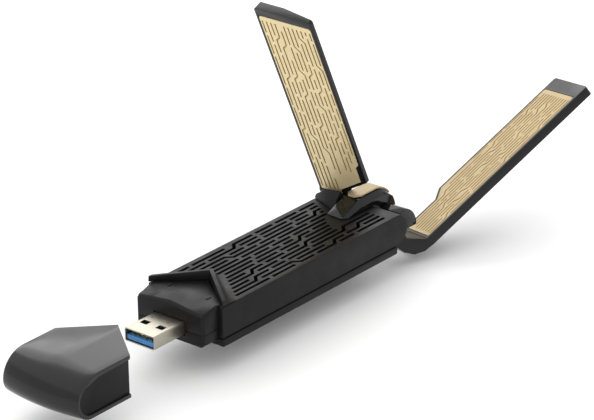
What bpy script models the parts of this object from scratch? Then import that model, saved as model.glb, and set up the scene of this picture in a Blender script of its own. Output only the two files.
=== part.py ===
"""USB wifi adapter with two fold-out antennas and a pull-off plug cap.

The plug points to -X, the antennas are at the +X end, and the grille faces +Z.
The origin is the middle of the flat underside. Design values are in millimetres.
"""
import math

import bmesh
import bpy
from mathutils import Matrix, Vector

MM = 0.001
GAP = 0.3                      # clearance between touching pieces

# Body
HALF_WIDTH = 15.0
BODY_FRONT = -44.9
BODY_REAR = 46.3
LID_TOP = 2.6                  # top of the bottom cover's rim
HOUSING_BOTTOM = LID_TOP + GAP
DECK = 13.3                    # level of the grille
WALL = 1.6
REAR_ROUND = 5.2               # radius of the housing's rear edges
CAVITY_REAR = 38.0

# Chevron rim in front of the grille
APEX_X = -33.5
RIM_SWEEP = 11.4               # how far each end of the rim lies ahead of its apex
APEX_Z = 17.5
RIM_DROP = 2.1
SEAT = DECK + GAP

# Neck around the plug
NECK_FRONT = -52.4
NECK_HALF = 13.6
NECK_BOTTOM = 2.1
NECK_RIDGE = 14.3
NECK_EAVE = 12.7

# Plug
PLUG_FRONT = -66.0
PLUG_HALF_WIDTH = 6.0
PLUG_HALF_HEIGHT = 2.25
PLUG_Z = 6.7
PLUG_WALL = 0.35

# Cap
CAP_PULL = 41.3                # how far the cap is drawn off along the plug
CAP_LIFT = 0.9                 # how far it rises on the way to its seat on the neck
CAP_WALL = 0.9
CAP_REAR = BODY_FRONT - 0.5
CAP_NOSE = -69.9
CAP_NOSE_Z = 5.6               # height of the nose's foremost line above the cap's base
CAP_NOSE_UNDER = 6.0           # how far back the nose's lower round ends
CAP_NOSE_OVER = (11.8, 9.2)   # the same for its upper round, at the middle and sides
CAP_EAVE = 13.9
CAP_RIDGE = 15.0
CAP_RIDGE_FRONT = 14.9
CAP_BOW = 1.5

# Circuit board
BOARD_X = (-35.0, 30.0)
BOARD_HALF = 12.4
BOARD_Z = (5.2, 6.2)
SCREW_SPOTS = ((-39.0, -11.0), (-39.0, 11.0), (34.0, -11.0), (34.0, 11.0))

# Antennas
BLADE_WIDTH = 22.6
BLADE_THICK = 3.1              # at the outer edge and over most of the back
BLADE_EDGE = 1.3               # at the inner edge, where the back slopes in
SLOPE_START = 10.0             # distance of that slope from the outer edge
BLADE_RIM = 0.8
PANEL_POCKET = 0.85
STEP_IN = 4.5                  # how much narrower the blade is below its step
PIN_RADIUS = 0.8
BORE_RADIUS = 1.1
LEFT_PIN = (40.4, HALF_WIDTH, 15.9)
LEFT_LEAN = 23.5               # degrees that the left blade leans forward of upright
LEFT_LENGTH = 79.0
LEFT_START = 0.2
LEFT_FOOT = 10.7               # width of the left blade's foot, beside the hub
LEFT_HEEL = (4.4, 12.4)        # a point on the sloping edge from that foot to full width
LEFT_SLOPE = 0.667
LEFT_BAND = 2.0                # extra black band across the left blade's tip
PANEL_NICK = (18.0, 1.6)       # where the left gold panel narrows, and by how much
RIGHT_PIN = (48.8, -9.9, 0.4)
RIGHT_RISE = 33.2
RIGHT_YAW = -15.9
RIGHT_ROLL = -24.9
RIGHT_LENGTH = 73.0
RIGHT_STEP = 18.0
HOOK_REACH = 8.6               # from the right pin to the blade's base crease
RIGHT_START = HOOK_REACH - 1.0
HEEL_WIDTH = 16.6              # width of the sloping face below that crease
HOOK_DEPTH = 6.1               # from the right pin down to the gold face
BARREL_WIDTH = 6.4
RIGHT_BAND = 4.5               # extra black band across the right blade's tip


def clear_scene():
    for item in list(bpy.data.objects):
        bpy.data.objects.remove(item, do_unlink=True)


def material(name, colour, roughness, metallic):
    mat = bpy.data.materials.new(name)
    mat.use_nodes = True
    shader = mat.node_tree.nodes["Principled BSDF"]
    shader.inputs["Base Color"].default_value = (*colour, 1.0)
    shader.inputs["Roughness"].default_value = roughness
    shader.inputs["Metallic"].default_value = metallic
    return mat


LOOKS = {
    "matte_black": ((0.030, 0.029, 0.030), 0.55, 0.0),
    "gloss_black": ((0.010, 0.010, 0.011), 0.12, 0.0),
    "cap_grey": ((0.045, 0.045, 0.048), 0.32, 0.0),
    "gold": ((0.70, 0.56, 0.30), 0.35, 0.6),
    "plug_steel": ((0.72, 0.69, 0.62), 0.25, 1.0),
    "tongue_blue": ((0.05, 0.22, 0.50), 0.45, 0.0),
    "contact_gold": ((0.85, 0.62, 0.22), 0.25, 1.0),
    "board_green": ((0.02, 0.12, 0.06), 0.50, 0.0),
    "chip_black": ((0.02, 0.02, 0.02), 0.60, 0.0),
    "can_steel": ((0.60, 0.60, 0.60), 0.35, 1.0),
    "pad_grey": ((0.35, 0.38, 0.45), 0.85, 0.0),
    "spreader": ((0.65, 0.65, 0.66), 0.40, 1.0),
    "pin_steel": ((0.55, 0.55, 0.56), 0.30, 1.0),
    "coax_grey": ((0.25, 0.25, 0.26), 0.50, 0.0),
    "liner_black": ((0.02, 0.02, 0.02), 0.70, 0.0),
}


def add_object(name, bm, look, smooth=False):
    """Closes a bmesh into a named object with its own material."""
    bmesh.ops.recalc_face_normals(bm, faces=bm.faces)
    mesh = bpy.data.meshes.new(name)
    bm.to_mesh(mesh)
    bm.free()
    if smooth:
        mesh.shade_smooth()
        mesh.set_sharp_from_angle(angle=math.radians(30))
    item = bpy.data.objects.new(name, mesh)
    bpy.context.collection.objects.link(item)
    if look:
        mesh.materials.append(material(name, *LOOKS[look]))
    return item


def hide_guide(item):
    item.hide_render = True
    item.display_type = "WIRE"
    return item


def loft(rings):
    """Skins equal rings of points, in millimetres, and closes both ends."""
    bm = bmesh.new()
    loops = [[bm.verts.new(Vector(p) * MM) for p in ring] for ring in rings]
    count = len(rings[0])
    for near, far in zip(loops, loops[1:]):
        for i in range(count):
            j = (i + 1) % count
            bm.faces.new((near[i], near[j], far[j], far[i]))
    bm.faces.new(loops[0])
    bm.faces.new(reversed(loops[-1]))
    return bm


def along_y(profile, y0, y1):
    """Extrudes an XZ outline from y0 to y1."""
    return loft([[(x, y, z) for x, z in profile] for y in (y0, y1)])


def along_z(outline, z0, z1):
    return loft([[(x, y, z) for x, y in outline] for z in (z0, z1)])


def block(x0, x1, y0, y1, z0, z1):
    return along_z(((x0, y0), (x1, y0), (x1, y1), (x0, y1)), z0, z1)


def arc(cx, cz, radius, start, end, steps):
    """Points on an arc in a plane, from start to end degrees."""
    points = []
    for i in range(steps + 1):
        a = math.radians(start + (end - start) * i / steps)
        points.append((cx + radius * math.cos(a), cz + radius * math.sin(a)))
    return points


def rod_y(x, z, radius, y0, y1, steps=16):
    return along_y(arc(x, z, radius, 0, 360, steps)[:-1], y0, y1)


def rod_z(x, y, radius, z0, z1, steps=16):
    return along_z(arc(x, y, radius, 0, 360, steps)[:-1], z0, z1)


def boolean(item, tool, operation):
    modifier = item.modifiers.new(operation.title(), "BOOLEAN")
    modifier.operation = operation
    modifier.solver = "EXACT"
    modifier.object = tool
    return item


def cut(item, bm, name):
    tool = hide_guide(add_object(name, bm, None))
    tool.parent = item.parent
    return boolean(item, tool, "DIFFERENCE")


def weld(item, bm, name):
    tool = hide_guide(add_object(name, bm, None))
    tool.parent = item.parent
    return boolean(item, tool, "UNION")


def merged(parts):
    """Puts several separate closed shapes into one bmesh, for use as one cutter."""
    bm = bmesh.new()
    for part in parts:
        mesh = bpy.data.meshes.new("scrap")
        part.to_mesh(mesh)
        part.free()
        bm.from_mesh(mesh)
        bpy.data.meshes.remove(mesh)
    return bm


# Body --------------------------------------------------------------------

def rim_x(y):
    return APEX_X - RIM_SWEEP * abs(y) / HALF_WIDTH


def housing_profile():
    r = REAR_ROUND
    rear = arc(BODY_REAR - r, DECK - r, r, 90, 0, 6)
    foot = arc(BODY_REAR - r, HOUSING_BOTTOM + r, r, 0, -60, 4)
    return ([(BODY_FRONT, HOUSING_BOTTOM), (BODY_FRONT, DECK)] + rear + foot
            + [(BODY_REAR - r, HOUSING_BOTTOM)])


def slot_rows():
    """Boxes for the grille: rows of slots along X, staggered from row to row."""
    rows, pitch, half, length, bridge = 11, 2.2, 0.55, 14.5, 1.6
    boxes = []
    for row in range(rows):
        y = (row - (rows - 1) / 2) * pitch
        start = rim_x(y) + 7.5
        stop = 25.6 if -4.0 < y < 1.0 else 26.6 + max(y, 0.0) * 0.6
        if y <= -4.0:
            stop = 36.0
        x = start + (row % 3) * 3.0
        boxes.append(block(start, x - bridge, y - half, y + half, DECK - 2.5, DECK + 1)
                     if x - bridge > start + 1.2 else block(start, start + 1.2, y - half,
                                                            y + half, DECK - 2.5, DECK + 1))
        x = max(x, start + 1.2 + bridge)
        while x < stop - 2.0:
            end = min(x + length, stop)
            boxes.append(block(x, end, y - half, y + half, DECK - 2.5, DECK + 1))
            x = end + bridge
    return boxes


def make_housing():
    item = add_object("top_housing", along_y(housing_profile(), -HALF_WIDTH, HALF_WIDTH),
                      "matte_black")
    inner = HALF_WIDTH - WALL
    cavity = block(BODY_FRONT + WALL, CAVITY_REAR, -inner, inner, 0, DECK - WALL)
    cut(item, cavity, "housing_cavity")
    port = block(BODY_FRONT - 2, BODY_FRONT + WALL + 1, -PLUG_HALF_WIDTH - 0.6,
                 PLUG_HALF_WIDTH + 0.6, PLUG_Z - 2.8, PLUG_Z + 2.8)
    cut(item, port, "housing_port")
    posts = merged(rod_z(x, y, 2.2, 3.2, DECK - 1.0, 12) for x, y in SCREW_SPOTS)
    weld(item, posts, "housing_posts")
    bores = merged(rod_z(x, y, BORE_RADIUS, 2.0, 8.0, 12) for x, y in SCREW_SPOTS)
    cut(item, bores, "housing_bores")
    cut(item, merged(slot_rows()), "housing_slots")


def make_bottom_cover():
    half = HALF_WIDTH + 0.2
    item = add_object("bottom_cover", block(BODY_FRONT, 41.0, -half, half, 0, LID_TOP),
                      "matte_black")
    inner = half - 1.6
    tray = block(BODY_FRONT + 1.6, 39.4, -inner, inner, 1.3, LID_TOP + 1)
    cut(item, tray, "cover_tray")
    holes = merged(rod_z(x, y, 1.8, -1, 2, 12) for x, y in SCREW_SPOTS)
    cut(item, holes, "cover_holes")
    for number, (x, y) in enumerate(SCREW_SPOTS, 1):
        screw = add_object(f"cover_screw_{number}", rod_z(x, y, 1.5, 0.3, 1.2, 16),
                           "pin_steel")
        weld(screw, rod_z(x, y, PIN_RADIUS, 1.0, 6.5, 12), f"screw_shank_{number}")


def neck_section(y):
    chamfer = 0.8 if abs(y) >= NECK_HALF - 0.01 else 0.0
    roof = NECK_EAVE + (NECK_RIDGE - NECK_EAVE) * (1 - abs(y) / NECK_HALF)
    front = NECK_FRONT + chamfer
    back = rim_x(y) - 0.4
    under = BODY_FRONT - GAP
    return [(front, y, NECK_BOTTOM + chamfer), (under, y, NECK_BOTTOM + chamfer),
            (under, y, SEAT), (back, y, SEAT), (back, y, max(roof - chamfer, SEAT + 0.3)),
            (under, y, roof - chamfer if roof - chamfer > SEAT + 0.2 else SEAT + 0.2),
            (front + 0.8, y, roof - chamfer), (front, y, roof - 0.8 - chamfer)]


def make_neck():
    stations = (-NECK_HALF, -NECK_HALF + 0.8, -7, 0, 7, NECK_HALF - 0.8, NECK_HALF)
    item = add_object("neck_collar", loft([neck_section(y) for y in stations]), "matte_black")
    opening = block(NECK_FRONT - 1, APEX_X - 1, -PLUG_HALF_WIDTH - GAP, PLUG_HALF_WIDTH + GAP,
                    PLUG_Z - PLUG_HALF_HEIGHT - GAP, PLUG_Z + PLUG_HALF_HEIGHT + GAP)
    cut(item, opening, "neck_opening")


def rim_section(y):
    x = rim_x(y)
    rise = APEX_Z - RIM_DROP * abs(y) / HALF_WIDTH - SEAT
    return [(x, y, SEAT), (x + 6.4, y, SEAT), (x + 6.0, y, SEAT + 0.06 * rise),
            (x + 4.2, y, SEAT + 0.22 * rise), (x + 2.7, y, SEAT + 0.55 * rise),
            (x + 1.5, y, SEAT + rise), (x, y, SEAT + rise)]


def make_rim():
    stations = (-HALF_WIDTH, -7.5, 0, 7.5, HALF_WIDTH)
    add_object("chevron_rim", loft([rim_section(y) for y in stations]), "matte_black")


# Plug --------------------------------------------------------------------

def make_plug():
    width, height, wall = PLUG_HALF_WIDTH, PLUG_HALF_HEIGHT, PLUG_WALL
    rear = PLUG_FRONT + 24.5
    shell = add_object("usb_shell", block(PLUG_FRONT, rear, -width, width,
                                          PLUG_Z - height, PLUG_Z + height), "plug_steel")
    cut(shell, block(PLUG_FRONT - 1, rear + 1, -width + wall, width - wall,
                     PLUG_Z - height + wall, PLUG_Z + height - wall), "shell_inside")
    windows = merged(block(PLUG_FRONT + 5.1, PLUG_FRONT + 7.5, y - 1.4, y + 1.4,
                           PLUG_Z - height - 1, PLUG_Z + height + 1) for y in (-3.15, 3.15))
    cut(shell, windows, "shell_windows")

    half = width - wall - GAP
    floor = PLUG_Z - height + wall + GAP
    tongue_top = PLUG_Z - 0.1
    add_object("usb_tongue", block(PLUG_FRONT + 0.4, rear - 2.5, -half, half, floor,
                                   tongue_top), "tongue_blue")
    add_object("usb_plug_carrier", block(rear - 2.2, rear + 3.5, -half, half, floor,
                                         PLUG_Z + height - wall - GAP), "chip_black")
    names = ("ground_contact", "data_plus_contact", "data_minus_contact", "power_contact")
    for i, name in enumerate(names):
        y = (i - 1.5) * 2.3
        add_object(name, block(PLUG_FRONT + 1.0, PLUG_FRONT + 8.5, y - 0.5, y + 0.5,
                               tongue_top + 0.05, tongue_top + 0.3), "contact_gold")
    for i in range(5):
        y = (i - 2) * 1.9
        add_object(f"fast_contact_{i + 1}", block(PLUG_FRONT + 9.8, PLUG_FRONT + 13.5, y - 0.35,
                                                  y + 0.35, tongue_top + 0.05,
                                                  tongue_top + 0.3), "contact_gold")


# Electronics -------------------------------------------------------------

def tube(name, points, radius, look):
    """A lead: a bevelled curve with filled caps through points in millimetres."""
    curve = bpy.data.curves.new(name, "CURVE")
    curve.dimensions = "3D"
    curve.bevel_depth = radius * MM
    curve.bevel_resolution = 2
    curve.use_fill_caps = True
    spline = curve.splines.new("POLY")
    spline.points.add(len(points) - 1)
    for point, place in zip(spline.points, points):
        point.co = (*(Vector(place) * MM), 1.0)
    curve.materials.append(material(name, *LOOKS[look]))
    item = bpy.data.objects.new(name, curve)
    bpy.context.collection.objects.link(item)


def make_electronics():
    top = BOARD_Z[1]
    add_object("main_board", block(*BOARD_X, -BOARD_HALF, BOARD_HALF, *BOARD_Z), "board_green")
    base = top + 0.1
    chips = (
        ("radio_chip", -8.0, 0.0, 9.0, 9.0, 0.9, "chip_black"),
        ("flash_chip", -24.0, 7.5, 5.0, 4.0, 0.9, "chip_black"),
        ("crystal", -24.0, -7.5, 3.2, 2.5, 0.8, "can_steel"),
        ("power_inductor", -29.5, 0.0, 4.5, 4.5, 2.0, "chip_black"),
        ("radio_shield_can", 13.0, 0.0, 20.0, 18.0, 1.8, "can_steel"),
        ("left_rf_socket", 27.0, 8.0, 2.4, 2.4, 1.0, "contact_gold"),
        ("right_rf_socket", 27.0, -8.0, 2.4, 2.4, 1.0, "contact_gold"),
    )
    for name, x, y, length, width, height, look in chips:
        add_object(name, block(x - length / 2, x + length / 2, y - width / 2, y + width / 2,
                               base, base + height), look)
    add_object("thermal_pad", block(-12.0, -4.0, -4.0, 4.0, 7.4, 8.9), "pad_grey")
    add_object("heat_spreader", block(-20.0, 20.0, -11.0, 11.0, 9.2, 10.2), "spreader")
    for side, name in ((1, "left_coax_lead"), (-1, "right_coax_lead")):
        points = []
        for i in range(13):
            t = i / 12
            sweep = math.sin(math.pi * t)
            points.append((27.0 + 9.5 * t, side * (8.0 - 3.5 * t + 0.8 * sweep), 8.1 + 1.6 * t))
        tube(name, points, 0.4, "coax_grey")


# Hinge hub ---------------------------------------------------------------

HUB_ROUND = 8.8
HUB_CENTRE = (45.2, 8.6)
HUB_BOTTOM = 4.5
HUB_RIGHT = -4.2
STRIP_END = 38.0               # angle where the strip ends on the hub's round


def hub_section(y, height, front):
    cx, cz = HUB_CENTRE
    end = -math.degrees(math.asin((cz - HUB_BOTTOM) / HUB_ROUND))
    crown = [(36.0, cz + HUB_ROUND)] + arc(cx, cz, HUB_ROUND, 90, end, 12)
    points = [(front, SEAT)] + crown + [(47.2, HUB_BOTTOM), (47.2, 9.5), (44.8, SEAT)]
    section = []
    for x, z in points:
        if z > SEAT:
            z = SEAT + (z - SEAT) * height
        section.append((x, y, z))
    return section


def make_hub():
    rings = [hub_section(HUB_RIGHT, 0.45, 29.5), hub_section(-2.9, 1.0, 27.5),
             hub_section(2.9, 1.0, 28.0), hub_section(3.6, 0.9, 28.5)]
    item = add_object("rear_hub", loft(rings), "gloss_black")
    x, _, z = LEFT_PIN
    cut(item, rod_y(x, z, BORE_RADIUS, 0.0, 6.0, 12), "hub_bore")

    cx, cz = HUB_CENTRE
    inner = HUB_ROUND + GAP
    outer = inner + 0.5
    band = ([(36.0, cz + outer)] + arc(cx, cz, outer, 90, STRIP_END, 7)
            + arc(cx, cz, inner, STRIP_END, 90, 7) + [(36.0, cz + inner)])
    add_object("hub_inlay", along_y(band, -2.6, 2.6), "gold")


def make_shoulder():
    """The rounded knuckle cover between the hub and the right side of the body."""
    back = arc(46.9, 5.0, 7.6, 78, 0, 8)
    profile = [(47.0, 5.0), (47.0, 9.0), (45.9, 11.6)] + back
    add_object("hinge_shoulder", along_y(profile, -12.4, HUB_RIGHT - GAP), "gloss_black")


def make_ridge():
    def section(y, foot, crest_x, crest_z):
        rear = 37.4 - 0.25 * (crest_z - SEAT)
        return [(foot, y, SEAT), (37.4, y, SEAT), (rear, y, crest_z), (crest_x, y, crest_z)]
    rings = [section(3.9, 31.5, 35.4, 18.6), section(10.0, 33.8, 35.6, 17.8),
             section(14.9, 35.8, 36.4, 14.6)]
    add_object("antenna_ridge", loft(rings), "matte_black")


# Antennas ----------------------------------------------------------------

def left_inner_edge(inset):
    """The left blade's inner edge from its tip down, then round the foot."""
    full = BLADE_WIDTH - inset
    points = []
    if inset:
        nick, depth = PANEL_NICK
        points += [(nick, full), (nick - depth, full - depth)]
        full -= depth
    for v in (full, LEFT_FOOT - inset):
        slope_u = LEFT_HEEL[0] + 1.2 * inset + (v - LEFT_HEEL[1]) * LEFT_SLOPE
        points.append((slope_u, v))
    return points + [(LEFT_START + inset, LEFT_FOOT - inset)]


def right_inner_edge(inset):
    full = BLADE_WIDTH - inset
    step = HOOK_REACH + RIGHT_STEP + inset * 0.4
    return [(step, full), (step - STEP_IN, full - STEP_IN),
            (RIGHT_START + inset, full - STEP_IN)]


def blade_outline(side, start, tip, inner_edge, inset):
    """The blade seen on its gold face; side is the way from its outer to its inner edge."""
    full = BLADE_WIDTH - inset
    near, far = inset + 0.6, full - 0.6
    outline = [(start + inset, inset), (tip - inset - 0.6, inset), (tip - inset, near),
               (tip - inset, far), (tip - inset - 0.6, full)] + inner_edge(inset)
    return [(x, side * y) for x, y in outline]


def blade_stack(prefix, side, start, tip, band, board_start, inner_edge, face, pivot):
    """Shell, board and gold panel of one antenna, in its hinge's own axes."""
    shell = add_object(f"{prefix}_antenna_shell",
                       along_z(blade_outline(side, start, tip, inner_edge, 0.0),
                               face - BLADE_THICK, face), "matte_black")
    shell.parent = pivot
    back = face - BLADE_THICK
    slope = [(SLOPE_START, back), (SLOPE_START, back - 2),
             (BLADE_WIDTH + 1, back - 2), (BLADE_WIDTH + 1, face - BLADE_EDGE)]
    wedge = loft([[(x, side * v, z) for v, z in slope] for x in (board_start - 6, tip + 1)])
    cut(shell, wedge, f"{prefix}_slope")
    room = along_z(blade_outline(side, start, tip - band, inner_edge, BLADE_RIM),
                   face - PANEL_POCKET, face + 1)
    near, far = sorted((side * 2.5, side * 9.5))
    nest = block(board_start, tip - 9.0, near, far, face - 2.2, face)
    board = add_object(f"{prefix}_antenna_board",
                       block(board_start + GAP, tip - 9.0 - GAP, near + GAP, far - GAP,
                             face - 1.9, face - 1.2), "board_green")
    board.parent = pivot
    panel = add_object(f"{prefix}_gold_panel",
                       along_z(blade_outline(side, start, tip - band, inner_edge,
                                             BLADE_RIM + 0.25),
                               face - PANEL_POCKET + GAP, face), "gold")
    panel.parent = pivot
    return shell, (room, nest)


def pivot_at(name, place, axes):
    empty = bpy.data.objects.new(name, None)
    bpy.context.collection.objects.link(empty)
    empty.matrix_world = Matrix.Translation(Vector(place) * MM) @ axes
    return empty


def make_left_antenna():
    rise = math.radians(90 + LEFT_LEAN)
    long_axis = Vector((math.cos(rise), 0, math.sin(rise)))
    cross = Vector((0, 1, 0))
    axes = Matrix((long_axis, cross, long_axis.cross(cross))).transposed().to_4x4()
    pivot = pivot_at("left_hinge_axis", LEFT_PIN, axes)
    shell, room = blade_stack("left", -1, LEFT_START, LEFT_LENGTH, LEFT_BAND, 15.0,
                              left_inner_edge, 1.6, pivot)
    weld(shell, rod_y(0, 0, 2.0, -LEFT_FOOT, 0, 20), "left_barrel")
    for tool in room:
        cut(shell, tool, "left_room")
    cut(shell, rod_y(0, 0, BORE_RADIUS, -20, -1.0, 12), "left_bore")
    pin = add_object("left_hinge_pin", rod_y(0, 0, PIN_RADIUS, -14.0, -1.4, 16), "pin_steel",
                     True)
    pin.parent = pivot


def right_axes():
    rise, yaw = math.radians(RIGHT_RISE), math.radians(RIGHT_YAW)
    long_axis = Vector((math.cos(rise) * math.cos(yaw), math.sin(yaw),
                        math.sin(rise) * math.cos(yaw)))
    level = (Vector((0, 1, 0)) - long_axis * long_axis.y).normalized()
    cross = Matrix.Rotation(math.radians(RIGHT_ROLL), 3, long_axis) @ level
    return Matrix((long_axis, cross, long_axis.cross(cross))).transposed().to_4x4()


def make_right_antenna():
    pivot = pivot_at("right_hinge_axis", RIGHT_PIN, right_axes())
    face = -HOOK_DEPTH
    shell, room = blade_stack("right", 1, RIGHT_START, HOOK_REACH + RIGHT_LENGTH, RIGHT_BAND,
                              HOOK_REACH + RIGHT_STEP + 2.0, right_inner_edge, face, pivot)
    back = face - BLADE_THICK
    hook = [(-2.2, -0.8), (-1.4, -4.0), (1.0, -7.2), (4.6, back + 0.3), (9.6, back),
            (9.6, face - 0.1), (7.4, face - 0.1), (2.2, -1.0)]
    weld(shell, along_y(hook, 0, BARREL_WIDTH), "right_hook")
    heel = [(4.2, -3.6), (2.8, -5.4), (4.6, back + 0.3), (9.6, back), (9.6, face - 0.1),
            (7.4, face - 0.1)]
    weld(shell, along_y(heel, BARREL_WIDTH - 1, HEEL_WIDTH), "right_heel")
    weld(shell, rod_y(0, 0, 2.5, 0, BARREL_WIDTH, 20), "right_barrel")
    for tool in room:
        cut(shell, tool, "right_room")
    cut(shell, rod_y(0, 0, BORE_RADIUS, 1.0, 20, 12), "right_bore")

    lug = add_object("hinge_lug", rod_y(0, 0, 2.5, BARREL_WIDTH + GAP, 11.2, 20),
                     "gloss_black")
    lug.parent = pivot
    up = Vector((0.54, 0.84))
    side = Vector((-0.84, 0.54)) * 1.8
    post = [tuple(side), tuple(-side), tuple(up * 5.0 - side), tuple(up * 5.0 + side)]
    weld(lug, along_y(post, BARREL_WIDTH + GAP, 11.2), "lug_post")
    cut(lug, rod_y(0, 0, BORE_RADIUS, 5, 20, 12), "lug_bore")
    pin = add_object("right_hinge_pin", rod_y(0, 0, PIN_RADIUS, 1.4, 11.0, 16), "pin_steel",
                     True)
    pin.parent = pivot


# Cap ---------------------------------------------------------------------

def cap_section(y, inset):
    """Side outline of the seated cap; an inset gives the outline of its hollow."""
    share = abs(y) / HALF_WIDTH
    tip = CAP_NOSE + CAP_BOW * share * share + inset
    over = CAP_NOSE_OVER[0] + (CAP_NOSE_OVER[1] - CAP_NOSE_OVER[0]) * share - inset
    under = CAP_NOSE_UNDER - inset
    front_top = CAP_EAVE + (CAP_RIDGE_FRONT - CAP_EAVE) * (1 - share) - inset
    rear_top = CAP_EAVE + (CAP_RIDGE - CAP_EAVE) * (1 - share) - inset
    back = rim_x(y) - 0.4
    points = []
    for i in range(7):
        a = math.radians(90 * i / 6)
        points.append((tip + under * (1 - math.sin(a)),
                       inset + (CAP_NOSE_Z - inset) * (1 - math.cos(a))))
    for i in range(1, 9):
        a = math.radians(90 * i / 8)
        points.append((tip + over * (1 - math.cos(a)),
                       CAP_NOSE_Z + (front_top - CAP_NOSE_Z) * math.sin(a)))
    if inset:
        points += [(back + 3, rear_top), (back + 3, inset)]
    else:
        points += [(back, rear_top), (back, rear_top - CAP_WALL),
                   (CAP_REAR, rear_top - CAP_WALL), (CAP_REAR, 0)]
    return [(x, y, z + CAP_LIFT) for x, z in points]


def make_cap():
    pivot = pivot_at("cap_slide", (-CAP_PULL, 0, -CAP_LIFT), Matrix.Identity(4))
    outer = (-HALF_WIDTH, -HALF_WIDTH * 0.5, 0, HALF_WIDTH * 0.5, HALF_WIDTH)
    shell = add_object("cap_shell", loft([cap_section(y, 0.0) for y in outer]), "cap_grey")
    shell.parent = pivot
    half = NECK_HALF + GAP
    inner = (-half, -half * 0.5, 0, half * 0.5, half)
    cut(shell, loft([cap_section(y, CAP_WALL) for y in inner]), "cap_hollow")
    liner = add_object("cap_liner", block(-66.6, -56.0, -7.6, 7.6, 3.0, 10.4), "liner_black")
    liner.parent = pivot
    cut(liner, block(-66.2, -50.0, -6.6, 6.6, 4.1, 9.3), "liner_mouth")


clear_scene()
make_housing()
make_bottom_cover()
make_neck()
make_rim()
make_plug()
make_electronics()
make_hub()
make_shoulder()
make_ridge()
make_left_antenna()
make_right_antenna()
make_cap()
bpy.context.view_layer.update()
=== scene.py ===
import math
import random
from collections import namedtuple

import bmesh
import bpy
from mathutils import Matrix, Vector


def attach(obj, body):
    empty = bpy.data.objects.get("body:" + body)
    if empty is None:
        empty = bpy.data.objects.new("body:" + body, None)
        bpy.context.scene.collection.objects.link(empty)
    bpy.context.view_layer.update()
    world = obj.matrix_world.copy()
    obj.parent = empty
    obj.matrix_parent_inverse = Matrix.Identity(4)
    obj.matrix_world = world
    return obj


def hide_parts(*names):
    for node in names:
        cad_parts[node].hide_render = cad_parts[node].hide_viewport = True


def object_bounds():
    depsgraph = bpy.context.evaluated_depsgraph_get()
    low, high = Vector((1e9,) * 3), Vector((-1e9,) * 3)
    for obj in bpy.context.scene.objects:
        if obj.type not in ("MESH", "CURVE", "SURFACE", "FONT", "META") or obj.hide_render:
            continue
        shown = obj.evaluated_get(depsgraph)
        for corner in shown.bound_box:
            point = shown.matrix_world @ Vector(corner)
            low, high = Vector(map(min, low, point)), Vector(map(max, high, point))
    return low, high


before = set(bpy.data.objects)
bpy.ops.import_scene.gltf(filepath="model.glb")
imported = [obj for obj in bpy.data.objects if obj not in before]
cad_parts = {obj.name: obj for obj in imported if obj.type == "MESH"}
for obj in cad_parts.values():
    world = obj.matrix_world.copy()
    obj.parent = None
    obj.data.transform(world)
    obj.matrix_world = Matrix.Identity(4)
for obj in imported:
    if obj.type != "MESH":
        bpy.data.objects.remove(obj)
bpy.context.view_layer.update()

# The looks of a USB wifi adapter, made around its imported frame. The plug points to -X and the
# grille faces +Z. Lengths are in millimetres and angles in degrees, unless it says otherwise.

MM = 0.001

# Body, with the same driving dimensions as the frame
HALF_WIDTH = 15.0
BODY_FRONT = -44.9
BODY_REAR = 46.3
HOUSING_BOTTOM = 2.9
DECK = 13.3                    # level of the grille
SEAT = 13.6                    # level that the pieces on the deck stand at
WALL = 1.6
REAR_ROUND = 5.2               # radius of the housing's rear edges
CAVITY_REAR = 38.0
COVER_REAR = 41.0
COVER_TOP = 2.6
COVER_FLOOR = 1.3
COVER_PROUD = 0.2              # how far the cover stands out past the housing's sides
SCREW_X = (-39.0, 34.0)
SCREW_Y = 11.0
SCREW_WELL = 1.8
DOOR_HALF = (6.6, 2.8)         # half the width and height of the opening behind the plug

# Grille
SLOT_LEAD = 7.2                # distance from the chevron's foot to the first slots
SLOT_REAR = 37.5
HUB_LANE = (-5.5, 1.0)         # rows from the first to the second end ahead of the hub
SLOT_ROWS = 13
SLOT_PITCH = 2.08
SLOT_WIDTH = 1.15
SLOT_DEPTH = 2.4
SLOT_LENGTHS = (6.0, 17.0)

# Chevron rim in front of the grille
APEX_X = -33.5
APEX_Z = 17.5
RIM_SWEEP = 11.4               # how far each end of the rim lies ahead of its apex
RIM_DROP = 2.1                 # and how far below it
RIM_DEPTH = 6.4
RIM_SWOOP = 4.7                # length of the curve up the rim's back
RIM_CURVE = 2.6                # its exponent

# Neck around the plug
NECK_FRONT = -52.4
NECK_HALF = 13.6
NECK_BOTTOM = 2.1
NECK_RIDGE = 14.3
NECK_EAVE = 12.7
NECK_CHAMFER = 0.8
NECK_SEAM = (6.0, 6.2)         # lowest and highest level of the seam
SEAM_DEPTH = 0.2
BUMP_X = (-43.9, -42.1)
BUMP_Y = 7.8
BUMP_Z = (13.7, 14.1)
BUMP_HALF = 0.35

# Plug
PLUG_FRONT = -66.0
PLUG_LENGTH = 24.5
PLUG_HALF = (6.0, 2.25)        # half its width and half its height
PLUG_Z = 6.7
PLUG_WALL = 0.35
PLUG_ROUND = 0.6
WINDOW_X = (5.1, 7.5)          # windows for the socket's springs, back from the plug's front
WINDOW_Y = 3.15
WINDOW_HALF = 1.4
DENT_X = (9.6, 10.6)
DENT_HALF = 0.9

# Hinge hub
HUB_ROUND = 8.8
HUB_CENTRE = (45.2, 8.6)
HUB_TOP_START = 36.0           # where the level top meets the round
HUB_BOTTOM = 4.5
HUB_RIGHT = -4.2
STRIP_HALF = 2.6
STRIP_LIFT = 0.3               # the strip's clearance over the hub
STRIP_THICK = 0.5
STRIP_END = 38.0               # angle above level where the strip ends
SHOULDER_ROUND = 7.6
SHOULDER_RIGHT = -12.4
RIDGE_REAR = 37.4

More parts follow.
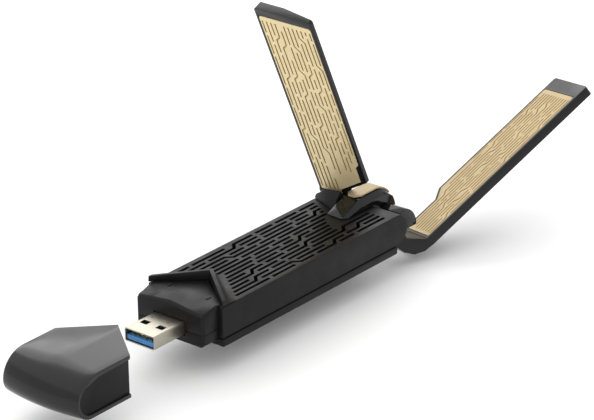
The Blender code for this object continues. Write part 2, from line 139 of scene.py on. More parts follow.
# Antennas
LEFT_PIN = (40.4, 15.0, 15.9)
LEFT_LEAN = 23.5
LEFT_START = 0.2
LEFT_FOOT = 10.7
LEFT_TIP = 79.0
LEFT_FACE = 1.6                # distance of the gold face from the pin's axis
LEFT_BAND = 2.0                # bare band at the tip
LEFT_BARREL = 2.0
HEEL = (3.8, 12.4)             # a point on the left heel's sloping edge, in the blade's own axes
HEEL_SLOPE = 0.667
RIGHT_PIN = (48.8, -9.9, 0.4)
RIGHT_RISE = 33.2
RIGHT_YAW = -15.9
RIGHT_ROLL = -24.9
RIGHT_START = 7.6
RIGHT_STEP = 26.6
RIGHT_TIP = 81.6
RIGHT_FACE = -6.1
RIGHT_BAND = 4.5
RIGHT_BARREL = 2.5
HOOK_WIDTH = 6.4
HEEL_WIDTH = 16.6
BLADE_WIDTH = 22.6
BLADE_THICK = 3.1
BLADE_EDGE = 1.3               # thickness left at the sloped edge
BLADE_RIM = 0.8
BLADE_CORNER = 0.6
SLOPE_START = 10.0
STEP_IN = 4.5
FOOT_STEP = (18.0, 1.6)        # where the left inlay steps in, and by how much
PIN_HOLE = 1.1
INLAY_DEPTH = 0.85
BOARD_Y = (2.5, 9.5)
BOARD_DEPTH = 2.2
PANEL_THICK = 0.55
PANEL_GAP = 0.25

# Grooves in the gold faces
GROOVE_WIDTH = 0.55
GROOVE_DEPTH = 0.3
GROOVE_BRIDGE = 1.2            # gap between one groove and the next in its row
GROOVE_MARGIN = 0.8            # bare rim around the grooves

# Cap
CAP_PULL = 41.3                # how far the cap is drawn off along the plug
CAP_WALL = 0.9
CAP_REAR = BODY_FRONT - 0.5
CAP_TIP = -69.9
CAP_BOW = 1.5                  # how far the tip falls back at the sides
CAP_NOSE_Z = 5.6               # height of the foremost line
CAP_NOSE_UNDER = 6.0           # how far back the nose's lower round ends
CAP_NOSE_OVER = 11.8           # the same for its upper round, in the middle
CAP_NOSE_SIDE = 2.6            # how much less that is at the sides
CAP_EAVE = 13.9
CAP_RISE_FRONT = 1.0           # height of the roof's middle line over the eave
CAP_RISE_REAR = 1.1
CAP_LIP = 0.9

# Camera, on the angle of the reference view
VIEW_AZIMUTH = 39.88
VIEW_ELEVATION = 24.07
VIEW_ROLL = -0.94
VIEW_DISTANCE = 1054.8
VIEW_TARGET = (-23.26, -26.96, 41.44)
VIEW_LENS = 212.1
SENSOR_WIDTH = 36

# Materials
GRAIN_DEPTH = 0.02

# Stage, in metres
FLOOR_GAP = 0.0005
LIGHT_TARGET = (0.0, 0.0, 0.03)


# Mesh helpers ------------------------------------------------------------

def new_object(name, bm, mat):
    """An object made of a bmesh, which it uses up."""
    bmesh.ops.recalc_face_normals(bm, faces=bm.faces)
    mesh = bpy.data.meshes.new(name)
    bm.to_mesh(mesh)
    bm.free()
    if mat:
        mesh.materials.append(mat)
    item = bpy.data.objects.new(name, mesh)
    bpy.context.collection.objects.link(item)
    return item


def loft(rings):
    """A closed solid through rings of points in millimetres."""
    bm = bmesh.new()
    loops = [[bm.verts.new(Vector(p) * MM) for p in ring] for ring in rings]
    count = len(rings[0])
    for near, far in zip(loops, loops[1:]):
        for i in range(count):
            j = (i + 1) % count
            bm.faces.new((near[i], near[j], far[j], far[i]))
    bm.faces.new(loops[0])
    bm.faces.new(reversed(loops[-1]))
    return bm


def along_y(profile, y0, y1):
    return loft([[(x, y, z) for x, z in profile] for y in (y0, y1)])


def along_z(outline, z0, z1):
    return loft([[(x, y, z) for x, y in outline] for z in (z0, z1)])


def block(x0, x1, y0, y1, z0, z1):
    return along_z(((x0, y0), (x1, y0), (x1, y1), (x0, y1)), z0, z1)


def arc(cx, cz, radius, start, end, steps):
    points = []
    for i in range(steps + 1):
        angle = math.radians(start + (end - start) * i / steps)
        points.append((cx + radius * math.cos(angle), cz + radius * math.sin(angle)))
    return points


def circle(cx, cz, radius, steps):
    return arc(cx, cz, radius, 0, 360, steps)[:-1]


def merged(parts):
    """Several shapes that don't touch, as one."""
    bm = bmesh.new()
    for part in parts:
        bmesh.ops.recalc_face_normals(part, faces=part.faces)
        mesh = bpy.data.meshes.new("scrap")
        part.to_mesh(mesh)
        part.free()
        bm.from_mesh(mesh)
        bpy.data.meshes.remove(mesh)
    return bm


def bevel(item, width, segments, angle=30):
    modifier = item.modifiers.new("Bevel", "BEVEL")
    modifier.width = width * MM
    modifier.segments = segments
    modifier.limit_method = "ANGLE"
    modifier.angle_limit = math.radians(angle)


def settle(item, smooth_angle=35):
    """Applies the item's modifiers, so that only a plain mesh is left."""
    graph = bpy.context.evaluated_depsgraph_get()
    mesh = bpy.data.meshes.new_from_object(item.evaluated_get(graph))
    old = item.data
    item.modifiers.clear()
    item.data = mesh
    mesh.name = item.name
    if old.users == 0:
        bpy.data.meshes.remove(old)
    mesh.shade_smooth()
    mesh.set_sharp_from_angle(angle=math.radians(smooth_angle))


def carve(item, bm, operation="DIFFERENCE", smooth_angle=35, mat=None):
    """Cuts or joins a closed shape and leaves a plain mesh; mat colours the new faces."""
    tool = new_object("tool", bm, mat)
    tool.matrix_world = item.matrix_world
    bpy.context.view_layer.update()
    modifier = item.modifiers.new("Cut", "BOOLEAN")
    modifier.operation = operation
    modifier.solver = "EXACT"
    modifier.object = tool
    if mat:
        modifier.material_mode = "TRANSFER"
    settle(item, smooth_angle)
    mesh = tool.data
    bpy.data.objects.remove(tool)
    bpy.data.meshes.remove(mesh)


def finish_piece(item, body, node):
    """Gives a piece its body and hides the frame's node that it stands for."""
    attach(item, body)
    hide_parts(node)


# Maze pattern ------------------------------------------------------------

def ribbon(points, width):
    """The outline of a strip of even width along a bent line, with mitred corners."""
    left, right = [], []
    for i, point in enumerate(points):
        p = Vector(point)
        before = (p - Vector(points[i - 1])).normalized() if i else None
        after = (Vector(points[i + 1]) - p).normalized() if i + 1 < len(points) else None
        along = ((before or after) + (after or before)).normalized()
        normal = Vector((-along.y, along.x))
        reach = width / 2
        if before and after:
            reach /= max(0.5, abs(normal.dot(Vector((-before.y, before.x)))))
        left.append(tuple(p + normal * reach))
        right.append(tuple(p - normal * reach))
    return left + right[::-1]


def maze(start, stop, rows, pitch, seed, lengths, bridge, jog_chance):
    """Paths along X in rows across Y, some of which step over to the next row at 45 degrees.

    start and stop give the x range of a row from its y, and bridge is the gap between two
    paths in a row. Paths never touch one another.
    """
    rng = random.Random(seed)
    level = [(row - (rows - 1) / 2) * pitch for row in range(rows)]
    free = [start(y) for y in level]
    ends = [stop(y) for y in level]
    paths = []
    while True:
        open_rows = [r for r in range(rows) if free[r] < ends[r] - 1.5]
        if not open_rows:
            return paths
        row = min(open_rows, key=lambda r: free[r])
        x0 = free[row]
        x1 = min(x0 + rng.uniform(*lengths), ends[row])
        path = [(x0, level[row])]
        other = row + rng.choice((-1, 1))
        land = x1 + pitch
        can_jog = (0 <= other < rows and free[other] <= x1 and land + 3 < ends[other]
                   and x1 - x0 > 1.0)
        if can_jog and rng.random() < jog_chance:
            if free[other] < x1 - 3.5:
                paths.append([(free[other], level[other]), (x1 - bridge * 0.6, level[other])])
            x2 = min(land + rng.uniform(*lengths) * 0.8, ends[other])
            path += [(x1, level[row]), (land, level[other]), (x2, level[other])]
            free[other] = x2 + bridge
            free[row] = land + bridge * 0.3
        else:
            path.append((x1, level[row]))
            free[row] = x1 + bridge
        paths.append(path)


# Materials ---------------------------------------------------------------

def shader_nodes(name):
    """A new material, its node tree and its Principled BSDF."""
    mat = bpy.data.materials.new(name)
    mat.use_nodes = True
    tree = mat.node_tree
    return mat, tree, tree.nodes["Principled BSDF"]


def noise(tree, scale, detail=4.0, stretch=(1, 1, 1)):
    where = tree.nodes.new("ShaderNodeTexCoord")
    mapping = tree.nodes.new("ShaderNodeMapping")
    mapping.inputs["Scale"].default_value = stretch
    tree.links.new(where.outputs["Object"], mapping.inputs["Vector"])
    texture = tree.nodes.new("ShaderNodeTexNoise")
    texture.inputs["Scale"].default_value = scale
    texture.inputs["Detail"].default_value = detail
    tree.links.new(mapping.outputs["Vector"], texture.inputs["Vector"])
    return texture.outputs["Fac"]


def spread(tree, source, low, high):
    """Maps a noise value, mostly 0.35 to 0.65, onto low to high."""
    node = tree.nodes.new("ShaderNodeMapRange")
    node.inputs["From Min"].default_value = 0.35
    node.inputs["From Max"].default_value = 0.65
    node.inputs["To Min"].default_value = low
    node.inputs["To Max"].default_value = high
    tree.links.new(source, node.inputs["Value"])
    return node.outputs["Result"]


def tint(tree, shader, source, colour, change):
    ramp = tree.nodes.new("ShaderNodeValToRGB")
    ramp.color_ramp.elements[0].position = 0.3
    ramp.color_ramp.elements[1].position = 0.7
    ramp.color_ramp.elements[0].color = (*[c * (1 - change) for c in colour], 1)
    ramp.color_ramp.elements[1].color = (*[min(1, c * (1 + change)) for c in colour], 1)
    tree.links.new(source, ramp.inputs["Fac"])
    tree.links.new(ramp.outputs["Color"], shader.inputs["Base Color"])


def grain(tree, shader, source, strength):
    bump = tree.nodes.new("ShaderNodeBump")
    bump.inputs["Strength"].default_value = strength
    bump.inputs["Distance"].default_value = GRAIN_DEPTH * MM
    tree.links.new(source, bump.inputs["Height"])
    tree.links.new(bump.outputs["Normal"], shader.inputs["Normal"])


def surface(name, colour, rough, change=0.12, metallic=0.0, grain_scale=4500.0,
            strength=0.35, specular=0.5, stretch=(1, 1, 1)):
    """A moulded or finished surface, whose colour and gloss drift, with a fine grain.

    rough is its range of roughness, change the share by which its colour drifts, and strength
    how much its grain shows.
    """
    mat, tree, shader = shader_nodes(name)
    tint(tree, shader, noise(tree, 60.0), colour, change)
    tree.links.new(spread(tree, noise(tree, 180.0, 6.0, stretch), *rough),
                   shader.inputs["Roughness"])
    grain(tree, shader, noise(tree, grain_scale, 2.0, stretch), strength)
    shader.inputs["Metallic"].default_value = metallic
    shader.inputs["Specular IOR Level"].default_value = specular
    return mat


MATTE = surface("moulded_matte_black", (0.0065, 0.006, 0.0063), (0.38, 0.50),
                specular=0.16)
SATIN = surface("satin_black", (0.005, 0.005, 0.0055), (0.24, 0.34), strength=0.2,
                specular=0.3)
GLOSS = surface("polished_black", (0.004, 0.004, 0.0045), (0.06, 0.12), strength=0.03,
                grain_scale=900.0, specular=0.35)
CAP = surface("satin_charcoal", (0.0045, 0.0045, 0.005), (0.17, 0.23), strength=0.06,
              specular=0.32)
# Painted shade: a darker, duller black on the faces of the cap's side recesses, so that the
# recess reads darker than the cap.
CAP_RECESS_SHADE = surface("satin_charcoal_recess_shade", (0.004, 0.004, 0.004), (0.34, 0.42), strength=0.3,
                   specular=0.1)
GOLD = surface("gold_paint", (0.70, 0.575, 0.325), (0.36, 0.46), change=0.04, metallic=0.35,
               strength=0.25, grain_scale=6000.0)
# Painted shade: a darker copy of the gold paint for the right antenna's face, which is turned
# away from the light.
GOLD_PAINTED_SHADE = surface("gold_paint_shaded", (0.41, 0.305, 0.145), (0.36, 0.46), change=0.04,
                    metallic=0.35, strength=0.25, grain_scale=6000.0)
DARK_GOLD = surface("gold_heel", (0.045, 0.032, 0.010), (0.44, 0.54), change=0.06,
                    specular=0.1)
# Painted shade: the grooves' faces get a darker gold than the gold face around them.
GROOVE = surface("gold_groove_painted_shade", (0.42, 0.31, 0.14), (0.45, 0.55), change=0.06, metallic=0.35)
INLAY = surface("gold_inlay", (0.36, 0.28, 0.155), (0.40, 0.50), change=0.05, metallic=0.3,
                strength=0.25, grain_scale=6000.0)
NICKEL = surface("nickel_plate", (0.42, 0.395, 0.33), (0.34, 0.38), change=0.03, metallic=1.0,
                 strength=0.04, grain_scale=1200.0, stretch=(0.1, 1, 1))
BLUE = surface("blue_moulding", (0.045, 0.22, 0.52), (0.38, 0.48), strength=0.2)
PLATED = surface("gold_plate", (0.90, 0.68, 0.28), (0.18, 0.28), change=0.05, metallic=1.0,
                 strength=0.1)
BOARD = surface("solder_mask", (0.02, 0.13, 0.06), (0.35, 0.5), grain_scale=1500.0)
CHIP = surface("chip_moulding", (0.018, 0.018, 0.019), (0.55, 0.7))
STEEL = surface("rolled_steel", (0.60, 0.60, 0.61), (0.28, 0.4), metallic=1.0, change=0.05,
                stretch=(0.1, 1, 1), grain_scale=1500.0, strength=0.15)
PAD = surface("thermal_pad_rubber", (0.30, 0.33, 0.40), (0.8, 0.9))
SPREADER = surface("black_anodised", (0.010, 0.010, 0.010), (0.5, 0.65), metallic=0.3)
COAX = surface("coax_sleeve", (0.20, 0.20, 0.21), (0.4, 0.5))
LINER = surface("liner_plastic", (0.015, 0.015, 0.015), (0.6, 0.7))


def repaint(mat, *names):
    for name in names:
        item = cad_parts[name]
        for slot in item.material_slots:
            slot.material = mat


def repaint_frame():
    """Gives the nodes that are kept as they are their own materials."""
    repaint(GLOSS, "hinge_lug")
    repaint(PLATED, "ground_contact", "data_plus_contact", "data_minus_contact",
            "power_contact", "left_rf_socket", "right_rf_socket",
            *[f"fast_contact_{i}" for i in range(1, 6)])
    repaint(BOARD, "main_board", "left_antenna_board", "right_antenna_board")
    repaint(CHIP, "radio_chip", "flash_chip", "power_inductor", "usb_plug_carrier")
    repaint(STEEL, "radio_shield_can", "crystal", "left_hinge_pin", "right_hinge_pin",
            *[f"cover_screw_{i}" for i in range(1, 5)])
    repaint(PAD, "thermal_pad")
    repaint(SPREADER, "heat_spreader")
    repaint(COAX, "left_coax_lead", "right_coax_lead")
    repaint(LINER, "cap_liner")
    repaint(BLUE, "usb_tongue")


# Body --------------------------------------------------------------------

def rim_x(y):
    """The chevron's front edge, which sweeps forward from its apex to both sides."""
    return APEX_X - RIM_SWEEP * abs(y) / HALF_WIDTH


def slot_start(y):
    return rim_x(y) + SLOT_LEAD


def slot_stop(y):
    """Slots end ahead of the hub and the ridge, and run on to the rear on the hub's right."""
    lane_start, lane_end = HUB_LANE
    if y <= lane_start:
        return SLOT_REAR
    if y < lane_end:
        return 26.0 - 0.5 * abs(y)
    return 26.6 + 0.5 * y


def make_housing():
    rear_x = BODY_REAR - REAR_ROUND
    rear = arc(rear_x, DECK - REAR_ROUND, REAR_ROUND, 90, 0, 16)
    foot = arc(rear_x, HOUSING_BOTTOM + REAR_ROUND, REAR_ROUND, 0, -60, 10)
    profile = ([(BODY_FRONT, HOUSING_BOTTOM), (BODY_FRONT, DECK)] + rear + foot
               + [(rear_x, HOUSING_BOTTOM)])
    item = new_object("housing", along_y(profile, -HALF_WIDTH, HALF_WIDTH), MATTE)
    bevel(item, 0.45, 3)
    settle(item)
    inner = HALF_WIDTH - WALL
    carve(item, block(BODY_FRONT + WALL, CAVITY_REAR, -inner, inner, 0, DECK - WALL))
    half_y, half_z = DOOR_HALF
    carve(item, block(BODY_FRONT - 2, BODY_FRONT + WALL + 1, -half_y, half_y, PLUG_Z - half_z,
                      PLUG_Z + half_z))
    paths = maze(slot_start, slot_stop, rows=SLOT_ROWS, pitch=SLOT_PITCH, seed=23,
                 lengths=SLOT_LENGTHS, bridge=1.5, jog_chance=0.5)
    slots = [along_z(ribbon(path, SLOT_WIDTH), DECK - SLOT_DEPTH, DECK + 1) for path in paths]
    carve(item, merged(slots))
    finish_piece(item, "adapter", "top_housing")


def neck_section(y):
    """Side outline of the neck, whose roof runs on under the chevron."""
    chamfer = NECK_CHAMFER if abs(y) >= NECK_HALF - 0.01 else 0.0
    roof = NECK_EAVE + (NECK_RIDGE - NECK_EAVE) * (1 - abs(y) / NECK_HALF)
    front = NECK_FRONT + chamfer
    back = rim_x(y) - 0.4
    under = BODY_FRONT - 0.3
    top = roof - chamfer
    return [(front, y, NECK_BOTTOM + chamfer), (under, y, NECK_BOTTOM + chamfer),
            (under, y, SEAT), (back, y, SEAT), (back, y, max(top, SEAT + 0.3)),
            (under, y, max(top, SEAT + 0.25)), (front + NECK_CHAMFER, y, top),
            (front, y, top - NECK_CHAMFER)]


def make_neck():
    edge = NECK_HALF - NECK_CHAMFER
    stations = (-NECK_HALF, -edge, -7, 0, 7, edge, NECK_HALF)
    item = new_object("neck", loft([neck_section(y) for y in stations]), MATTE)
    half_y, half_z = (half + 0.3 for half in PLUG_HALF)
    carve(item, block(NECK_FRONT - 1, APEX_X - 1, -half_y, half_y, PLUG_Z - half_z,
                      PLUG_Z + half_z), smooth_angle=25)
    seams = [block(NECK_FRONT - 1, NECK_FRONT + SEAM_DEPTH, -NECK_HALF - 1, NECK_HALF + 1,
                   *NECK_SEAM)]
    for side in (-1, 1):
        near, far = sorted((side * (NECK_HALF - SEAM_DEPTH), side * (NECK_HALF + 0.4)))
        seams.append(block(NECK_FRONT - 2, BODY_FRONT, near, far, *NECK_SEAM))
    for seam in seams:
        carve(item, seam, smooth_angle=25)
    bevel(item, 0.12, 2, 40)
    settle(item, 25)
    bumps = merged(block(*BUMP_X, y - BUMP_HALF, y + BUMP_HALF, *BUMP_Z)
                   for y in (-BUMP_Y, BUMP_Y))
    carve(item, bumps, "UNION", smooth_angle=25)
    finish_piece(item, "adapter", "neck_collar")


def make_bottom_cover():
    half = HALF_WIDTH + COVER_PROUD
    item = new_object("underside", block(BODY_FRONT, COVER_REAR, -half, half, 0, COVER_TOP),
                      MATTE)
    bevel(item, 0.5, 3)
    settle(item)
    inner = half - WALL
    carve(item, block(BODY_FRONT + WALL, COVER_REAR - WALL, -inner, inner, COVER_FLOOR, 4))
    holes = [along_z(circle(x, y, SCREW_WELL, 24), -1, 2)
             for x in SCREW_X for y in (-SCREW_Y, SCREW_Y)]
    carve(item, merged(holes))
    finish_piece(item, "adapter", "bottom_cover")


def rim_section(y):
    """Side outline of the chevron: a steep front, and a back that sweeps down to the deck."""
    x = rim_x(y)
    rise = APEX_Z - RIM_DROP * abs(y) / HALF_WIDTH - SEAT
    points = [(x, y, SEAT), (x + RIM_DEPTH, y, SEAT)]
    for i in range(9):
        t = i / 8
        points.append((x + RIM_DEPTH - RIM_SWOOP * t, y,
                       SEAT + 0.05 + (rise - 0.05) * t ** RIM_CURVE))
    points.append((x + 0.15, y, SEAT + rise))
    return points


def make_rim():
    middle = HALF_WIDTH / 2
    stations = (-HALF_WIDTH, -middle, 0, middle, HALF_WIDTH)
    item = new_object("chevron", loft([rim_section(y) for y in stations]), MATTE)
    bevel(item, 0.22, 2, 35)
    settle(item, 30)
    finish_piece(item, "adapter", "chevron_rim")


# Plug --------------------------------------------------------------------

def rounded_box_outline(half_y, half_z, radius, steps=5):
    points = []
    for sy, sz, start in ((1, 1, 0), (-1, 1, 90), (-1, -1, 180), (1, -1, 270)):
        points += arc(sy * (half_y - radius), sz * (half_z - radius), radius, start, start + 90,
                      steps)
    return points


def tube_x(x0, x1, half_y, half_z, radius):
    ring = rounded_box_outline(half_y, half_z, radius)
    return loft([[(x, y, PLUG_Z + z) for y, z in ring] for x in (x0, x1)])


def plug_pair(x_range, half_y, z0, z1):
    """A block on each side of the plug, at a distance back from the plug's front."""
    x0, x1 = (PLUG_FRONT + x for x in x_range)
    return merged(block(x0, x1, y - half_y, y + half_y, z0, z1) for y in (-WINDOW_Y, WINDOW_Y))


def make_plug():
    rear = PLUG_FRONT + PLUG_LENGTH
    half_y, half_z = PLUG_HALF
    outside = tube_x(PLUG_FRONT, rear, half_y, half_z, PLUG_ROUND)
    hollow = tube_x(PLUG_FRONT - 1, rear + 1, half_y - PLUG_WALL, half_z - PLUG_WALL, 0.35)
    windows = plug_pair(WINDOW_X, WINDOW_HALF, 3.0, 10.0)
    dents = plug_pair(DENT_X, DENT_HALF, 8.8, 10.0)
    seam = block(PLUG_FRONT - 1, PLUG_FRONT + 14, -0.06, 0.06, 3.0, 4.62)
    item = new_object("plug_shell", outside, NICKEL)
    for shape in (hollow, windows, dents, seam):
        carve(item, shape)
    finish_piece(item, "adapter", "usb_shell")


# Hinge hub ---------------------------------------------------------------

def hub_section(y, height, front):
    """Side outline of the hub; height scales what stands above the deck."""
    cx, cz = HUB_CENTRE
    end = -math.degrees(math.asin((cz - HUB_BOTTOM) / HUB_ROUND))
    crown = [(HUB_TOP_START, cz + HUB_ROUND)] + arc(cx, cz, HUB_ROUND, 90, end, 32)
    points = [(front, SEAT)] + crown + [(47.2, HUB_BOTTOM), (47.2, 9.5), (44.8, SEAT)]
    return [(x, y, SEAT + (z - SEAT) * height if z > SEAT else z) for x, z in points]


def make_hub():
    rings = ((HUB_RIGHT, 0.45, 29.5), (-2.9, 1.0, 27.5), (2.9, 1.0, 28.0), (3.6, 0.9, 28.5))
    item = new_object("hinge_hub", loft([hub_section(*ring) for ring in rings]), GLOSS)
    bevel(item, 0.18, 2, 20)
    settle(item, 20)
    finish_piece(item, "adapter", "rear_hub")


def make_hub_strip():
    cx, cz = HUB_CENTRE
    inner = HUB_ROUND + STRIP_LIFT
    outer = inner + STRIP_THICK
    start, side = HUB_TOP_START, STRIP_HALF
    band = ([(start, cz + outer)] + arc(cx, cz, outer, 90, STRIP_END, 24)
            + arc(cx, cz, inner, STRIP_END, 90, 24) + [(start, cz + inner)])
    outline = [(start, -1.2), (start + 2, -side), (62, -side), (62, side), (start + 2, side),
               (start, 1.2)]
    strip = new_object("hub_strip", along_y(band, -side, side), INLAY)
    carve(strip, along_z(outline, 0, 30), "INTERSECT")
    bevel(strip, 0.12, 2, 30)
    settle(strip, 30)
    finish_piece(strip, "adapter", "hub_inlay")


def make_shoulder():
    profile = ([(47.0, 5.0), (47.0, 9.0), (45.9, 11.6)]
               + arc(46.9, 5.0, SHOULDER_ROUND, 78, 0, 24))
    item = new_object("knuckle", along_y(profile, SHOULDER_RIGHT, HUB_RIGHT - 0.3), GLOSS)
    bevel(item, 0.3, 3, 35)
    settle(item, 25)
    finish_piece(item, "adapter", "hinge_shoulder")


def ridge_section(y, foot, crest_x, crest_z):
    rear = RIDGE_REAR - 0.25 * (crest_z - SEAT)
    return [(foot, y, SEAT), (RIDGE_REAR, y, SEAT), (rear, y, crest_z), (crest_x, y, crest_z)]


def make_ridge():
    rings = ((3.9, 31.5, 35.4, 18.6), (10.0, 33.8, 35.6, 17.8), (14.9, 35.8, 36.4, 14.6))
    item = new_object("ridge", loft([ridge_section(*ring) for ring in rings]), MATTE)
    bevel(item, 0.15, 2, 30)
    settle(item, 30)
    finish_piece(item, "adapter", "antenna_ridge")


# Antennas ----------------------------------------------------------------

def left_axes():
    rise = math.radians(90 + LEFT_LEAN)
    long_axis = Vector((math.cos(rise), 0, math.sin(rise)))
    cross = Vector((0, 1, 0))
    return Matrix((long_axis, cross, long_axis.cross(cross))).transposed().to_4x4()


def right_axes():
    rise, yaw = math.radians(RIGHT_RISE), math.radians(RIGHT_YAW)
    long_axis = Vector((math.cos(rise) * math.cos(yaw), math.sin(yaw),
                        math.sin(rise) * math.cos(yaw)))
    level = (Vector((0, 1, 0)) - long_axis * long_axis.y).normalized()
    cross = Matrix.Rotation(math.radians(RIGHT_ROLL), 3, long_axis) @ level
    return Matrix((long_axis, cross, long_axis.cross(cross))).transposed().to_4x4()


def left_inner_edge(inset):
    """From the blade's full width in to the pin; the inlay's edge starts with a step."""
    full = BLADE_WIDTH - inset
    points = []
    if inset:
        step_x, step = FOOT_STEP
        points += [(step_x, full), (step_x - step, full - step)]
        full -= step
    heel_x, heel_y = HEEL
    for y in (full, LEFT_FOOT - inset):
        points.append((heel_x + 1.2 * inset + (y - heel_y) * HEEL_SLOPE, y))
    return points + [(LEFT_START + inset, LEFT_FOOT - inset)]


def right_inner_edge(inset):
    full = BLADE_WIDTH - inset
    step = RIGHT_STEP + inset * 0.4
    return [(step, full), (step - STEP_IN, full - STEP_IN),
            (RIGHT_START + inset, full - STEP_IN)]


# A blade lies along its own X, from start to tip, and its side is the sign of its Y. Its face is
# the level of its gold face over the pin's axis, and band the bare band at its tip.
Blade = namedtuple("Blade", "prefix side start tip band board_start inner_edge face pin axes")
LEFT_BLADE = Blade("left", -1, LEFT_START, LEFT_TIP, LEFT_BAND, 15.0, left_inner_edge,
                   LEFT_FACE, LEFT_PIN, left_axes())
RIGHT_BLADE = Blade("right", 1, RIGHT_START, RIGHT_TIP, RIGHT_BAND, 28.6, right_inner_edge,
                    RIGHT_FACE, RIGHT_PIN, right_axes())


def blade_outline(blade, tip, inset):
    full = BLADE_WIDTH - inset
    near, far = inset + BLADE_CORNER, full - BLADE_CORNER
    end = tip - inset
    outline = [(blade.start + inset, inset), (end - BLADE_CORNER, inset), (end, near), (end, far),
               (end - BLADE_CORNER, full)] + blade.inner_edge(inset)
    return [(x, blade.side * y) for x, y in outline]


def place(item, blade):
    item.matrix_world = Matrix.Translation(Vector(blade.pin) * MM) @ blade.axes
    bpy.context.view_layer.update()


def bake_place(item):
    """Moves the item's place into its mesh."""
    item.data.transform(item.matrix_world)
    item.matrix_world = Matrix.Identity(4)


def inside(point, outline):
    """Whether a point lies inside a closed outline."""
    x, y = point
    odd = False
    for (x0, y0), (x1, y1) in zip(outline, outline[1:] + outline[:1]):
        if (y0 > y) != (y1 > y) and x < x0 + (y - y0) * (x1 - x0) / (y1 - y0):
            odd = not odd
    return odd


def make_gold_panel(blade, look, pattern):
    tip = blade.tip - blade.band
    face = blade.face
    outline = blade_outline(blade, tip, BLADE_RIM + PANEL_GAP)
    margin = blade_outline(blade, tip, BLADE_RIM + GROOVE_MARGIN)
    panel = new_object(f"{blade.prefix}_gold_face", along_z(outline, face - PANEL_THICK, face),
                       look)
    place(panel, blade)

    def start(y):
        return blade.start + 2.2 + max(0.0, y - 1.0) * 0.7

    def stop(y):
        return tip - BLADE_RIM - 2.0

    grooves = []
    for path in maze(start, stop, bridge=GROOVE_BRIDGE, **pattern):
        turned = [(x, blade.side * (y + BLADE_WIDTH / 2)) for x, y in path]
        if all(inside(point, margin) for point in turned):
            grooves.append(along_z(ribbon(turned, GROOVE_WIDTH), face - GROOVE_DEPTH, face + 0.5))
    # The grooves' new faces take the darker gold, as painted shade in the grooves.
    carve(panel, merged(grooves), smooth_angle=30, mat=GROOVE)
    bake_place(panel)
    finish_piece(panel, f"{blade.prefix}_antenna", f"{blade.prefix}_gold_panel")


def make_shell(blade, extras):
    """A blade with its sloped back, the extra shapes at its foot and the room for its inlay."""
    face, side = blade.face, blade.side
    back = face - BLADE_THICK
    outline = blade_outline(blade, blade.tip, 0.0)
    shell = new_object(f"{blade.prefix}_blade", along_z(outline, back, face), SATIN)
    place(shell, blade)
    slope = [(SLOPE_START, back), (SLOPE_START, back - 2), (BLADE_WIDTH + 1, back - 2),
             (BLADE_WIDTH + 1, face - BLADE_EDGE)]
    carve(shell, loft([[(x, side * v, z) for v, z in slope]
                       for x in (blade.board_start - 6, blade.tip + 1)]))
    for extra in extras:
        carve(shell, extra, "UNION")
    bevel(shell, 0.3, 3, 40)
    settle(shell, 30)
    inlay = blade_outline(blade, blade.tip - blade.band, BLADE_RIM)
    carve(shell, along_z(inlay, face - INLAY_DEPTH, face + 1), smooth_angle=30)
    near, far = sorted(side * y for y in BOARD_Y)
    board_room = block(blade.board_start, blade.tip - 9.0, near, far, face - BOARD_DEPTH, face)
    carve(shell, board_room, smooth_angle=30)
    return shell


def bore_pin_hole(shell, y0, y1):
    carve(shell, along_y(circle(0, 0, PIN_HOLE, 20), y0, y1), smooth_angle=30)


def make_left_antenna():
    barrel = along_y(circle(0, 0, LEFT_BARREL, 32), -LEFT_FOOT, 0)
    shell = make_shell(LEFT_BLADE, [barrel])
    bore_pin_hole(shell, -20, -1.0)
    bake_place(shell)
    finish_piece(shell, "left_antenna", "left_antenna_shell")
    make_gold_panel(LEFT_BLADE, GOLD, {"rows": 12, "pitch": 1.72, "seed": 5,
                                       "lengths": (4.5, 14.0), "jog_chance": 0.7})


def paint_heel(shell, heel):
    """Paints the heel's sloping face and the crease beside it, near the blade's foot."""
    (x0, z0), (x1, z1) = heel[0], heel[-1]
    slope = Vector((z0 - z1, 0, x1 - x0)).normalized()
    shell.data.materials.append(DARK_GOLD)
    for polygon in shell.data.polygons:
        middle = polygon.center / MM
        on_slope = polygon.normal.dot(slope) > 0.93 and 2.0 < middle.x < 7.6
        on_crease = polygon.normal.z > 0.9 and middle.x < 9.0
        if (on_slope or on_crease) and middle.z > -7.5:
            polygon.material_index = len(shell.data.materials) - 1


def make_right_antenna():
    face = RIGHT_FACE
    back = face - BLADE_THICK
    root = [(4.6, back + 0.3), (9.6, back), (9.6, face - 0.1), (7.4, face - 0.1)]
    hook = [(-2.2, -0.8), (-1.4, -4.0), (1.0, -7.2)] + root + [(2.2, -1.0)]
    heel = [(4.2, -3.6), (2.8, -5.4)] + root
    extras = [along_y(hook, 0, HOOK_WIDTH), along_y(heel, HOOK_WIDTH - 1, HEEL_WIDTH),
              along_y(circle(0, 0, RIGHT_BARREL, 32), 0, HOOK_WIDTH)]
    shell = make_shell(RIGHT_BLADE, extras)
    bore_pin_hole(shell, 1.0, 20)
    paint_heel(shell, heel)
    bake_place(shell)
    finish_piece(shell, "right_antenna", "right_antenna_shell")
    # The right antenna's gold face takes the darker copy of the gold paint, as painted shade.
    make_gold_panel(RIGHT_BLADE, GOLD_PAINTED_SHADE, {"rows": 12, "pitch": 1.72, "seed": 8,
                                             "lengths": (5.0, 16.0), "jog_chance": 0.5})


# Cap ---------------------------------------------------------------------

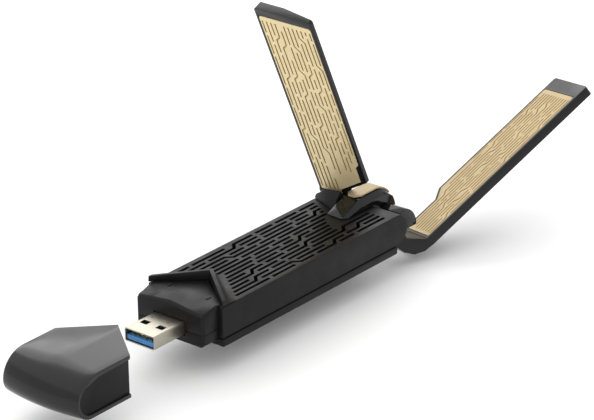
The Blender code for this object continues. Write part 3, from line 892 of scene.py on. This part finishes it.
def cap_section(y, inset):
    """Side outline of the cap as it lies, drawn off; an inset outlines its hollow."""
    share = abs(y) / HALF_WIDTH
    tip = CAP_TIP + CAP_BOW * share * share + inset
    under = CAP_NOSE_UNDER - inset
    over = CAP_NOSE_OVER - CAP_NOSE_SIDE * share - inset
    front_top = CAP_EAVE + CAP_RISE_FRONT * (1 - share) - inset
    rear_top = CAP_EAVE + CAP_RISE_REAR * (1 - share) - inset
    back = rim_x(y) - 0.4
    points = []
    for i in range(19):
        angle = math.radians(90 * i / 18)
        points.append((tip + under * (1 - math.sin(angle)),
                       inset + (CAP_NOSE_Z - inset) * (1 - math.cos(angle))))
    for i in range(1, 25):
        angle = math.radians(90 * i / 24)
        points.append((tip + over * (1 - math.cos(angle)),
                       CAP_NOSE_Z + (front_top - CAP_NOSE_Z) * math.sin(angle)))
    if inset:
        points += [(back + 3, rear_top), (back + 3, inset)]
    else:
        points += [(back, rear_top), (back, rear_top - CAP_LIP), (CAP_REAR, rear_top - CAP_LIP),
                   (CAP_REAR, 0)]
    return [(x - CAP_PULL, y, z) for x, z in points]


def cap_side_recess(side):
    """The shallow panel sunk in a side of the cap."""
    outline = ([(-44.0, 1.2), (-62.4, 1.2)] + arc(-62.4, 6.2, 5.0, 270, 115, 14)
               + [(-59.0, 12.3), (-44.0, 12.6)])
    return along_y([(x - CAP_PULL, z) for x, z in outline], side * 14.4, side * 16)


def make_cap():
    stations = [HALF_WIDTH * i / 6 for i in range(-6, 7)]
    item = new_object("cap", loft([cap_section(y, 0.0) for y in stations]), CAP)
    half = NECK_HALF + 0.3
    inner = [half * i / 4 for i in range(-4, 5)]
    carve(item, loft([cap_section(y, CAP_WALL) for y in inner]), smooth_angle=22)
    # The side recesses' new faces take the darker black as painted shade.
    carve(item, merged(cap_side_recess(side) for side in (-1, 1)), smooth_angle=22,
          mat=CAP_RECESS_SHADE)
    bevel(item, 0.25, 3, 40)
    settle(item, 22)
    finish_piece(item, "cap", "cap_shell")


# Stage -------------------------------------------------------------------

def make_camera():
    turned, raised = math.radians(VIEW_AZIMUTH), math.radians(VIEW_ELEVATION)
    look = Vector((math.cos(raised) * math.cos(turned), math.cos(raised) * math.sin(turned),
                   -math.sin(raised)))
    level = Vector((math.sin(turned), -math.cos(turned), 0))
    turn = Matrix.Rotation(-math.radians(VIEW_ROLL), 3, look)
    right = turn @ level
    up = right.cross(look)
    data = bpy.data.cameras.new("camera")
    data.lens = VIEW_LENS
    data.sensor_width = SENSOR_WIDTH
    camera = bpy.data.objects.new("camera", data)
    bpy.context.collection.objects.link(camera)
    axes = Matrix((right, up, -look)).transposed().to_4x4()
    spot = (Vector(VIEW_TARGET) - look * VIEW_DISTANCE) * MM
    camera.matrix_world = Matrix.Translation(spot) @ axes
    data.clip_start, data.clip_end = 0.05, 20
    bpy.context.scene.camera = camera


def area_light(name, spot, size, power):
    data = bpy.data.lights.new(name, "AREA")
    data.shape = "RECTANGLE"
    data.size, data.size_y = size
    data.energy = power
    lamp = bpy.data.objects.new(name, data)
    bpy.context.collection.objects.link(lamp)
    lamp.location = spot
    aim = Vector(LIGHT_TARGET) - Vector(spot)
    lamp.rotation_euler = aim.to_track_quat("-Z", "Y").to_euler()


def make_floor():
    mat, tree, shader = shader_nodes("floor_paper")
    tint(tree, shader, noise(tree, 3.0), (0.86, 0.86, 0.86), 0.01)
    shader.inputs["Roughness"].default_value = 0.9
    half = 3000
    floor = new_object("floor", block(-half, half, -half, half, -1, 0), mat)
    floor.location.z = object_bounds()[0].z - FLOOR_GAP


def make_lights():
    world = bpy.data.worlds.new("studio")
    world.use_nodes = True
    background = world.node_tree.nodes["Background"]
    background.inputs["Color"].default_value = (1, 1, 1, 1)
    background.inputs["Strength"].default_value = 1.0
    bpy.context.scene.world = world
    area_light("key", (-0.4, 0.4, 1.4), (2.4, 2.4), 9)
    area_light("fill", (-1.0, -0.5, 0.4), (0.7, 0.5), 2)
    area_light("rear", (0.8, 0.7, 0.8), (1.6, 1.0), 9)
    bpy.context.scene.view_settings.view_transform = "Standard"


make_camera()
repaint_frame()
make_housing()
make_bottom_cover()
make_neck()
make_rim()
make_plug()
make_hub()
make_hub_strip()
make_shoulder()
make_ridge()
make_left_antenna()
make_right_antenna()
make_cap()
make_floor()
make_lights()
